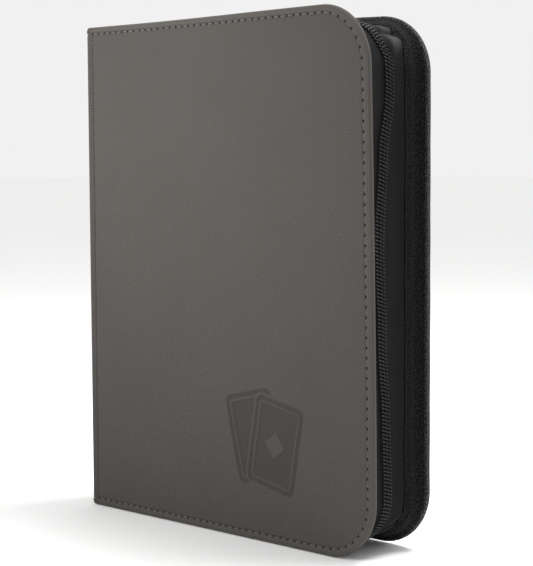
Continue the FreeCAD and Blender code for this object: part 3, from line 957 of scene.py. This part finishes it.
def plain_weave(name, colour, pitch, depth, contrast, sheen, roughness, ribbed=0.0, folds=False):
    """Fine over-and-under cloth. The second thread's pitch is wider when ribbed is set, and a painted
    highlight makes the stretched folds paler when folds is set."""
    m = Shader(name)
    uv, u, v = m.weave_map()
    checks = m.math("ABSOLUTE", m.math("SUBTRACT", m.stripes(u, pitch), m.stripes(v, pitch * (1 + ribbed))))
    uneven = m.noise(uv, 0.8, 4.0)
    cloud = m.noise(uv, 0.06, 2.0)
    shade = m.remap(checks, 0, 1, 1 - contrast, 1 + contrast * 0.5)
    shade = m.times(shade, m.varied(uneven, 0.9, 1.1), m.varied(cloud, 0.93, 1.07))
    # painted highlight: the stretched folds of the tape are painted paler
    if folds:
        shade = m.times(shade, m.remap(m.attribute("fold_highlight"), 0, 1, 1.0, FOLD_HIGHLIGHT_GAIN))
    rough = m.varied(uneven, roughness - 0.06, roughness + 0.06)
    return m.finish(
        m.shaded(colour, shade), rough, m.bump(checks, depth), Sheen_Weight=sheen, Sheen_Roughness=0.4,
        Specular_IOR_Level=0.06,
    )


def thread(name, colour):
    """Twisted sewing thread."""
    m = Shader(name)
    uv, u, v = m.weave_map()
    ply = m.stripes(m.math("ADD", u, m.times(v, 0.12)), 0.55)
    shade = m.times(m.remap(ply, 0, 1, 0.78, 1.1), m.varied(m.noise(uv, 3.0), 0.92, 1.08))
    return m.finish(m.shaded(colour, shade), 0.62, m.bump(ply, 0.08), Sheen_Weight=0.2)


def moulded(name, colour, roughness, grain, metallic=0.0, shine=0.5):
    """Plastic or painted metal with a fine grain and uneven gloss."""
    m = Shader(name)
    place = m.node("ShaderNodeTexCoord").outputs["Object"]
    fine = m.noise(place, 1.0 / (grain * MM))
    broad = m.noise(place, 1.0 / (12 * MM))
    shade = m.times(m.varied(fine, 0.95, 1.05), m.varied(broad, 0.9, 1.1))
    rough = m.varied(broad, roughness - 0.06, roughness + 0.08)
    return m.finish(
        m.shaded(colour, shade), rough, m.bump(fine, grain * 0.12, 0.5), Metallic=metallic,
        Specular_IOR_Level=shine,
    )


def clear_film(name):
    """Clear glossy pocket film, with faint ripples and a haze."""
    m = Shader(name)
    place = m.node("ShaderNodeTexCoord").outputs["Object"]
    ripple = m.noise(place, 60.0, 2.0)
    haze = m.noise(place, 220.0)
    m.material.surface_render_method = "BLENDED"
    return m.finish(
        m.shaded((0.55, 0.57, 0.6), m.varied(haze, 0.9, 1.0)), m.varied(haze, 0.08, 0.18),
        m.bump(ripple, 0.2), Alpha=m.varied(haze, 0.07, 0.11), Specular_IOR_Level=0.45,
    )


FINISH = {
    "grey_skin": twill("grey_skin_cloth", (0.0632, 0.0581, 0.0534), 1.15, 0.20, 0.31, 0.02, 0.8, 0.10),
    "gusset_cloth": twill(
        "black_twill", (0.0075, 0.0075, 0.0077), 1.15, 0.32, 0.6, 0.01, 0.8, 0.07, False, 0.25, 1.0
    ),
    "zip_tape": plain_weave("black_tape", (0.0066, 0.0066, 0.0070), 0.55, 0.06, 0.25, 0.01, 0.66, 0.8, True),
    "zip_teeth": moulded("black_coil", (0.0042, 0.0042, 0.0046), 0.38, 0.25, shine=0.22),
    "grey_thread": thread("grey_thread_twist", (0.060, 0.055, 0.0505)),
    "black_thread": thread("black_thread_twist", (0.008, 0.008, 0.0083)),
    "foam": moulded("grey_foam", (0.10, 0.10, 0.105), 0.95, 0.4),
    "board": moulded("grey_board", (0.30, 0.27, 0.23), 0.92, 0.5),
    "lining": plain_weave("black_lining", (0.013, 0.013, 0.0135), 0.6, 0.07, 0.3, 0.05, 0.82),
    "zip_metal": moulded("gunmetal", (0.055, 0.055, 0.058), 0.34, 0.12, 0.85),
    "pull_grip": moulded("black_rubber", (0.011, 0.011, 0.0115), 0.62, 0.2, shine=0.3),
    "leaf_sheet": moulded("black_leaf", (0.013, 0.013, 0.014), 0.5, 0.3),
    "pocket_film": clear_film("clear_film_gloss"),
}
# painted light: the facing is black twill like the gusset, painted lighter for the light that falls on the
# back cover's rim
LIT_FACING_FINISH = twill(
    "black_twill_painted_lit", (0.0245, 0.0245, 0.0247), 1.15, 0.36, 0.85, 0.05, 0.8, 0.2, False, 0.2, 1.5
)


# ---- giving a piece its finish and its body ----
def dress(obj, slot):
    """Gives a piece the finish of a slot."""
    obj.data.materials.clear()
    obj.data.materials.append(FINISH[slot])
    return obj


def placed(obj, slot, body, *nodes):
    """A piece with its finish, on its body, standing for CAD nodes."""
    dress(obj, slot)
    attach(obj, body)
    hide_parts(*nodes)
    return obj


def bent(obj, slot, a, b, start, end, *nodes):
    """A piece with its finish, baked where it stands; it isn't bent and isn't put on a body. The bodies a and
    b and the points start and end (x, y) are not used.
    """
    dress(obj, slot)
    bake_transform(obj)
    if nodes:
        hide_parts(*nodes)
    return obj


# ---- the covers ----
placed(cover_skin("front_cover_skin", -1, FRONT_ROLL, True), "grey_skin", "front_cover", "front_skin")
placed(cover_skin("back_cover_skin", 1, BACK_ROLL, False), "grey_skin", "back_cover", "back_skin")
# the layers inside, as (side, layer, distance from the edge, depth of its two sides, start past the crease)
LAYERS = (
    (-1, "foam", 1.3, 0.9, 1.6, 0.2),
    (-1, "board", 1.3, 1.65, 2.65, 0.2),
    (1, "foam", 1.3, 0.9, 1.6, 0.2),
    (1, "board", 1.3, 1.65, 2.65, 0.2),
    (-1, "lining", RECESS + 1.2, 2.98, 3.2, 2.4),
    (1, "lining", RECESS + 2.0, 3.0, 3.3, 2.4),
)
for side, layer, inset, outer, inner, past in LAYERS:
    word = "front" if side < 0 else "back"
    slab = cover_layer(f"{word}_cover_{layer}", side, inset, outer, inner, SEAM_X + past)
    placed(slab, layer, word + "_cover", f"{word}_{layer}")

for side, word in ((-1, "front"), (1, "back")):
    edge = stitches("edge", *edge_holes(side, side < 0), THREAD_GAP)
    column = stitches("column", *column_holes(side), 0.3, 0.7)
    thread_row = joined(word + "_cover_stitches", [edge, column])
    placed(thread_row, "grey_thread", word + "_cover", word + "_stitching")

facing_s = spread(-EXTRA, WALL_LENGTH + EXTRA, 1.1)
facing = swept_edge("back_cover_black_facing", FACING_SECTION, facing_s, 1, 0.05)
placed(facing, "gusset_cloth", "back_cover", "back_edge_facing")
# the facing's black twill, painted lighter as painted light on the rim
facing.data.materials[0] = LIT_FACING_FINISH


# ---- the spine and creases ----
HINGE_REACH = 3.5                    # a hinge's two end points lie this far onto the spine and the cover
LINING_BEND = ((-94.0, 14.4), (-93.6, 15.6), (-92.9, 16.4), (-91.8, 16.82), (-89.6, 16.86))
placed(strip_skin("spine_cloth", FOLD, WRAP - FOLD), "grey_skin", "spine", "spine_skin")
for side, word in ((-1, "front"), (1, "back")):
    start = (LEFT, side * (BACK - HINGE_REACH))
    end = (LEFT + HINGE_REACH, side * BACK)
    reach = (0.0, FOLD) if side < 0 else (WRAP - FOLD, WRAP)
    crease = strip_skin(word + "_crease_cloth", *reach)
    bent(crease, "grey_skin", "spine", word + "_cover", start, end, word + "_crease_skin")
    runs = [stitches("run", *wrap_holes(*reach, top), THREAD_GAP) for top in (True, False)]
    bent(joined(word + "_crease_stitches", runs), "grey_thread", "spine", word + "_cover", start, end)
    path = [(x, side * y) for x, y in LINING_BEND]
    hinge_lining = ribbon(word + "_crease_lining", path, spread(5.5, TOP - 5.5, 8.0), 0.25 * -side)
    bent(hinge_lining, "lining", "spine", word + "_cover", path[0], path[-1])
spine_runs = [stitches("run", *wrap_holes(FOLD, WRAP - FOLD, top), THREAD_GAP) for top in (True, False)]
spine_thread = joined("spine_stitches", spine_runs)
dress(spine_thread, "grey_thread")
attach(spine_thread, "spine")


# ---- the zip wall ----
placed(front_tape("front_tape_cloth"), "zip_tape", "front_cover", "front_zip_tape")
placed(back_tape("back_tape_cloth"), "zip_tape", "back_cover", "back_zip_tape")
placed(gusset("back_gusset_cloth"), "gusset_cloth", "back_cover", "back_gusset")
for row, word in ((-1, "front"), (1, "back")):
    placed(zip_coil(word + "_coil_turns", row), "zip_teeth", word + "_cover", word + "_zip_coil")

GUSSET_STITCH = 2.6
GUSSET_STITCH_Y = 8.72
gusset_s = np.arange(2.0, WALL_LENGTH - 2.0, GUSSET_STITCH)
seam_y = np.full(len(gusset_s), GUSSET_STITCH_Y)
seam_inset = RECESS - 0.42 - tape_puff(gusset_s, seam_y)
holes = wall_points(gusset_s, seam_y, seam_inset + 0.32)
seam = stitches("back_gusset_stitches", holes, wall_outward(gusset_s), 0.4, 0.5)
placed(seam, "black_thread", "back_cover", "back_gusset_stitching")


# ---- inside the spine, the leaves and the zip's end tabs ----
def leaf_wave(x, z, middle):
    """Slight wave of a leaf towards its free edge. middle is the leaf's place among the others."""
    free = smoothstep((x + 86.0) / 60.0)
    return 0.22 * free * np.sin(x / 31.0 + middle) * np.sin(z / 43.0 + 2.1 * middle)


def leaf_sheet(name, low, high):
    """Black middle sheet, from the binding strip outwards."""
    bend = [STRIP_FACE, -92.0, -91.2, -90.4, -89.6, -88.6]
    columns = np.concatenate([bend, spread(-87.0, high[0], 5.5)])
    rows = spread(low[2], high[2], 6.5)
    x, z = np.meshgrid(columns, rows, indexing="ij")
    middle = (low[1] + high[1]) / 2
    wave = leaf_wave(x, z, middle)
    front = np.stack([x, middle + wave - LEAF_HALF, z], -1)
    back = np.stack([x, middle + wave + LEAF_HALF, z], -1)
    return add_sheet(name, front, back, x, z)


def leaf_pockets(name, low, high):
    """Clear pockets on both faces of a leaf: welded at three edges, open at the top, puffed between."""
    middle = (low[1] + high[1]) / 2
    wide = (high[0] - low[0] - POCKET_GAP * (POCKETS_ACROSS - 1)) / POCKETS_ACROSS
    tall = (high[2] - low[2] - POCKET_GAP * (POCKETS_DOWN - 1)) / POCKETS_DOWN
    a, b = np.meshgrid(np.linspace(0, 1, 9), np.linspace(0, 1, 11), indexing="ij")
    side = np.minimum(a, 1 - a) * wide
    puff = POCKET_PUFF * smoothstep(side / 9.0) * smoothstep(b * tall / 9.0)
    puff = puff - 0.10 * smoothstep((b - 0.9) / 0.1)
    points, faces, uv = [], [], []
    count = 0
    for face in (-1, 1):
        for i in range(POCKETS_ACROSS):
            for j in range(POCKETS_DOWN):
                x = low[0] + i * (wide + POCKET_GAP) + a * wide
                z = low[2] + j * (tall + POCKET_GAP) + b * tall
                base = middle + leaf_wave(x, z, middle) + face * 0.25
                outer = np.stack([x, base + face * (puff + FILM), z], -1)
                inner = np.stack([x, base + face * puff, z], -1)
                pocket, pocket_faces = closed_sheet(outer, inner)
                points.append(pocket)
                faces += [tuple(k + count for k in f) for f in pocket_faces]
                count += len(pocket)
                uv.append(both_sides(x, z))
    return add_mesh(name, np.concatenate(points), faces, np.concatenate(uv))


def end_tab(name, low, high, out):
    """Folded cloth flap with rounded end corners, crowned over the tape's ends. out is 1 at the top."""
    a, b = np.meshgrid(np.linspace(0, 1, 15), np.linspace(-1, 1, 17), indexing="ij")
    shrink = 1 - 0.22 * smoothstep((a - 0.72) / 0.28) ** 2
    x = low[0] + a * (high[0] - low[0])
    y = (low[1] + high[1]) / 2 + b * shrink * (high[1] - low[1]) / 2
    edge = np.minimum(np.minimum(a * 9.2, (1 - a) * 9.2), (1 - np.abs(b)) * 5.5)
    crown = 0.25 * smoothstep(edge / 1.2) - 0.12 * bump(edge - 1.6, 0.45)
    level = high[2] if out > 0 else low[2]
    outer = np.stack([x, y, level + out * (crown - 0.1)], -1)
    inner = np.stack([x, y, level - out * 0.7 + 0 * x], -1)
    return add_sheet(name, outer, inner, x, y)


STRIP_LOW, STRIP_HIGH = box_mm("page_binding_strip")
STRIP_FACE = STRIP_HIGH[0]
LINING_LOW, LINING_HIGH = box_mm("spine_lining")
path = [(LINING_HIGH[0], y) for y in spread(LINING_LOW[1], LINING_HIGH[1], 3.0)]
inside_lining = ribbon("spine_inside_lining", path, spread(LINING_LOW[2], LINING_HIGH[2], 9.0), 0.2)
placed(inside_lining, "lining", "spine", "spine_lining")
across = spread(STRIP_LOW[1], STRIP_HIGH[1], 0.6)
path = [(STRIP_FACE - 0.12 * float(bump(abs(y) - 13.4, 0.6)), y) for y in across]
page_strip = ribbon("page_strip", path, spread(STRIP_LOW[2], STRIP_HIGH[2], 9.0), 1.0)
placed(page_strip, "gusset_cloth", "spine", "page_binding_strip")
for word, out in (("top", 1), ("bottom", -1)):
    node = "zip_end_tab_" + word
    placed(end_tab("end_tab_" + word, *box_mm(node), out), "gusset_cloth", "spine", node)
for number in range(1, LEAF_COUNT + 1):
    leaf = f"leaf_{number:02d}"
    low, high = box_mm(leaf + "_sheet")
    y = (low[1] + high[1]) / 2
    sheet = leaf_sheet(leaf + "_middle", low, high)
    bent(sheet, "leaf_sheet", "spine", leaf, (STRIP_FACE, y), (LEAF_BEND_END, y), leaf + "_sheet")
    pockets = leaf_pockets(leaf + "_clear_pockets", *box_mm(leaf + "_pockets"))
    placed(pockets, "pocket_film", leaf, leaf + "_pockets")


# ---- CAD pieces that keep their shape ----
KEPT = {
    "spine_board": "board",
    "front_zip_stop": "zip_metal",
    "back_zip_stop": "zip_metal",
    "zip_slider_body": "zip_metal",
    "zip_slider_bridge": "zip_metal",
    "zip_pull_frame": "zip_metal",
    "zip_pull_grip": "pull_grip",
}


def weave_from_place(obj):
    """Weave map in millimetres for a CAD node, laid flat on each face."""
    mesh = obj.data
    layer = mesh.uv_layers.new(name="weave")
    for face in mesh.polygons:
        facing = max(range(3), key=lambda i: abs(face.normal[i]))
        for corner in face.loop_indices:
            place = mesh.vertices[mesh.loops[corner].vertex_index].co
            layer.data[corner].uv = [place[i] / MM for i in range(3) if i != facing]


for node, slot in KEPT.items():
    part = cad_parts[node]
    weave_from_place(part)
    part.data.materials.clear()
    part.data.materials.append(FINISH[slot])


# ---- floor, light and camera ----
FLOOR_REACH = 9
corners = [(x * FLOOR_REACH, y * FLOOR_REACH, 0) for x, y in ((-1, -1), (1, -1), (1, 1), (-1, 1))]
floor_mesh = bpy.data.meshes.new("floor")
floor_mesh.from_pydata(corners, [], [(0, 1, 2, 3)])
floor = bpy.data.objects.new("floor", floor_mesh)
bpy.context.scene.collection.objects.link(floor)
floor.location.z = -0.0002
floor_finish = bpy.data.materials.new("pale_floor")
floor_finish.use_nodes = True
floor_surface = floor_finish.node_tree.nodes["Principled BSDF"]
floor_surface.inputs["Base Color"].default_value = (0.97, 0.97, 0.965, 1)
floor_surface.inputs["Roughness"].default_value = 0.9
floor.data.materials.append(floor_finish)


def add_lamp(name, kind, place, aim, power, **settings):
    """A lamp that shines from place towards aim."""
    data = bpy.data.lights.new(name, kind)
    data.energy = power
    for key, value in settings.items():
        setattr(data, key, value)
    lamp = bpy.data.objects.new(name, data)
    bpy.context.scene.collection.objects.link(lamp)
    lamp.location = place
    lamp.rotation_euler = (Vector(aim) - Vector(place)).to_track_quat("-Z", "Y").to_euler()


world = bpy.data.worlds.new("studio")
world.use_nodes = True
world.node_tree.nodes["Background"].inputs["Color"].default_value = (1.0, 1.0, 1.0, 1)
world.node_tree.nodes["Background"].inputs["Strength"].default_value = 0.88
bpy.context.scene.world = world
bpy.context.scene.view_settings.view_transform = "Standard"
# the key lamp is round, and its light fades towards the edge of its cone
soft = {"spot_size": 0.40, "spot_blend": 1.0, "shadow_soft_size": 0.12}
add_lamp("key", "SPOT", (-0.57, -0.94, 0.54), (-0.047, -0.02, 0.211), 85.0, **soft)
panel = {"shape": "RECTANGLE", "size": 0.45, "size_y": 0.45}
add_lamp("top", "AREA", (0.22, 0.25, 1.0), (0.06, 0, 0.22), 11.0, **panel)
panel = {"shape": "RECTANGLE", "size": 0.3, "size_y": 0.5}
add_lamp("rim", "AREA", (0.30, 0.95, 0.30), (0.09, 0.02, 0.13), 2.5, **panel)


CAMERA_PLACE = (0.5581, -0.5598, 0.1817)
CAMERA_YAW = 44.29
CAMERA_PITCH = -4.56
CAMERA_ROLL = -0.32
CAMERA_LENS = 104.56537              # focal length, for a sensor 36 mm wide

camera_data = bpy.data.cameras.new("camera")
camera_data.sensor_width = 36.0
camera_data.lens = CAMERA_LENS
camera = bpy.data.objects.new("camera", camera_data)
bpy.context.scene.collection.objects.link(camera)
camera.location = CAMERA_PLACE
turn = Matrix.Rotation(math.radians(CAMERA_YAW), 3, "Z")
tilt = Matrix.Rotation(math.radians(90 + CAMERA_PITCH), 3, "X")
roll = Matrix.Rotation(math.radians(CAMERA_ROLL), 3, "Z")
camera.rotation_euler = (turn @ tilt @ roll).to_euler()
bpy.context.scene.camera = camera
